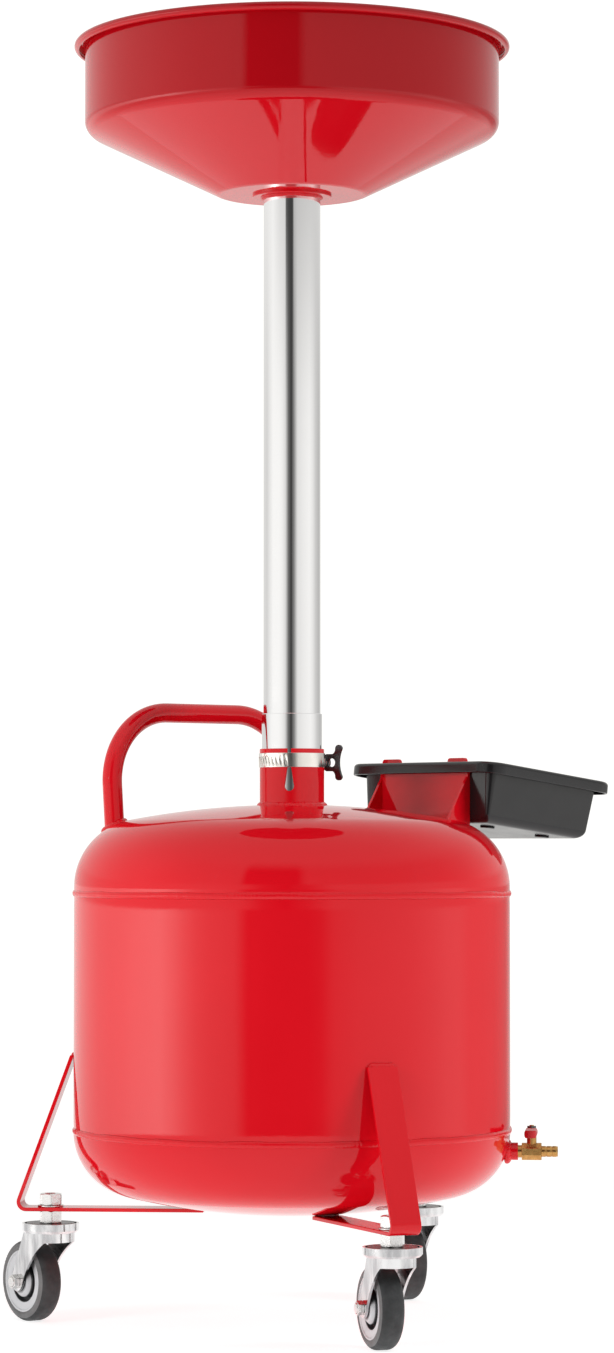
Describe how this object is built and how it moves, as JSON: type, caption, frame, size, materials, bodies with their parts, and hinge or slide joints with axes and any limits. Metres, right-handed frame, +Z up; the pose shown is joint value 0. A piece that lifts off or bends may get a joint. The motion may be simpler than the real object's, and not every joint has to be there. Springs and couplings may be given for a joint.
{
  "type": "oil drain pan",
  "caption": "Upright rolling oil drain: a round funnel bowl on a telescoping mast over a domed tank with swivel casters, a side tool tray, a pull handle and a drain valve.",
  "frame": {"origin": "on the floor, under the middle of the whole object's box", "axes": "+Z up along the mast; +X the way the drain valve points; the two-foot handle is on the -X +Y side and the tool tray on the +X +Y side"},
  "size_m": [0.493, 0.4534, 1.0327],
  "materials": {
    "red_paint": "gloss powder coat",
    "chrome": "bright chrome plate",
    "zinc_steel": "bright zinc plate",
    "bright_steel": "plain bright steel",
    "stainless": "rolled stainless strip",
    "dark_steel": "dark oxide",
    "black_plastic": "satin moulded",
    "red_vinyl": "dipped vinyl",
    "tyre_rubber": "dull rubber",
    "grey_plastic": "moulded nylon",
    "nylon": "moulded nylon",
    "ptfe": "sintered ptfe",
    "brass": "machined brass"
  },
  "bodies": {
    "tank": {"tank_top_head": "red_paint", "tank_shell": "red_paint", "tank_bottom_head": "red_paint", "seam_welds": "red_paint", "attachment_welds": "red_paint", "neck_collar": "red_paint", "handle_tube": "red_paint", "tray_bracket": "red_paint", "leg_left": "red_paint", "leg_front": "red_paint", "leg_rear": "red_paint", "caster_stems": "zinc_steel", "caster_top_plates": "dark_steel", "stem_lower_nuts": "zinc_steel", "stem_washers": "zinc_steel", "stem_upper_nuts": "zinc_steel", "drain_boss": "red_paint", "valve_body": "brass", "valve_seats": "ptfe", "packing_nut": "brass", "hose_barb": "brass", "clamp_band": "stainless", "clamp_housing": "stainless"},
    "valve_handle": {"valve_ball": "bright_steel", "valve_stem": "brass", "valve_lever": "bright_steel", "lever_grip": "red_vinyl", "lever_nut": "dark_steel"},
    "clamp_key": {"clamp_screw": "stainless", "wing_key": "dark_steel"},
    "outer_mast": {"outer_mast_tube": "chrome"},
    "mast_guide": {"guide_bush": "nylon"},
    "bowl": {"inner_mast_tube": "chrome", "bowl_ring": "red_paint", "bowl_shell": "red_paint"},
    "strainer": {"strainer": "bright_steel"},
    "tray": {"tool_tray": "black_plastic"},
    "swivel_left": {"fork_left": "chrome", "race_balls_left": "bright_steel", "axle_bolt_left": "zinc_steel", "axle_nut_left": "zinc_steel", "wheel_bush_left": "bright_steel"},
    "wheel_left": {"wheel_core_left": "grey_plastic", "tyre_left": "tyre_rubber"},
    "swivel_front": {"fork_front": "chrome", "race_balls_front": "bright_steel", "axle_bolt_front": "zinc_steel", "axle_nut_front": "zinc_steel", "wheel_bush_front": "bright_steel"},
    "wheel_front": {"wheel_core_front": "grey_plastic", "tyre_front": "tyre_rubber"},
    "swivel_rear": {"fork_rear": "chrome", "race_balls_rear": "bright_steel", "axle_bolt_rear": "zinc_steel", "axle_nut_rear": "zinc_steel", "wheel_bush_rear": "bright_steel"},
    "wheel_rear": {"wheel_core_rear": "grey_plastic", "tyre_rear": "tyre_rubber"}
  },
  "joints": [
    {"name": "outer_mast_slide", "type": "slide", "parent": "tank", "child": "outer_mast", "axis": [0, 0, 1], "range_m": [-0.02, 0.28]},
    {"name": "inner_mast_slide", "type": "slide", "parent": "outer_mast", "child": "mast_guide", "axis": [0, 0, 1], "range_m": [-0.31, 0]},
    {"name": "bowl_swivel", "type": "hinge", "parent": "mast_guide", "child": "bowl", "pos_m": [-0.00594, -0.02579, 0.437], "axis": [0, 0, 1], "continuous": true},
    {"name": "strainer_lift", "type": "slide", "parent": "bowl", "child": "strainer", "axis": [0, 0, 1], "range_m": [0, 0.12]},
    {"name": "tray_lift", "type": "slide", "parent": "tank", "child": "tray", "axis": [0, 0, 1], "range_m": [0, 0.06]},
    {"name": "clamp_key_turn", "type": "hinge", "parent": "tank", "child": "clamp_key", "pos_m": [0.00981, 0.00149, 0.4513], "axis": [0.866, -0.5, 0], "continuous": true},
    {"name": "valve_turn", "type": "hinge", "parent": "tank", "child": "valve_handle", "pos_m": [0.18611, -0.02579, 0.1406], "axis": [0, 0, 1], "range_deg": [0, 90]},
    {"name": "caster_swivel_left", "type": "hinge", "parent": "tank", "child": "swivel_left", "pos_m": [-0.20094, -0.02579, 0.0785], "axis": [0, 0, 1], "continuous": true},
    {"name": "caster_swivel_front", "type": "hinge", "parent": "tank", "child": "swivel_front", "pos_m": [0.08561, -0.19796, 0.0785], "axis": [0, 0, 1], "continuous": true},
    {"name": "caster_swivel_rear", "type": "hinge", "parent": "tank", "child": "swivel_rear", "pos_m": [0.0841, 0.14718, 0.0785], "axis": [0, 0, 1], "continuous": true},
    {"name": "wheel_spin_left", "type": "hinge", "parent": "swivel_left", "child": "wheel_left", "pos_m": [-0.21931, -0.00466, 0.0325], "axis": [-0.7547, -0.6561, 0], "continuous": true},
    {"name": "wheel_spin_front", "type": "hinge", "parent": "swivel_front", "child": "wheel_front", "pos_m": [0.07467, -0.17219, 0.0325], "axis": [-0.9205, -0.3907, 0], "continuous": true},
    {"name": "wheel_spin_rear", "type": "hinge", "parent": "swivel_rear", "child": "wheel_rear", "pos_m": [0.07227, 0.17256, 0.0325], "axis": [-0.9063, -0.4226, 0], "continuous": true}
  ]
}
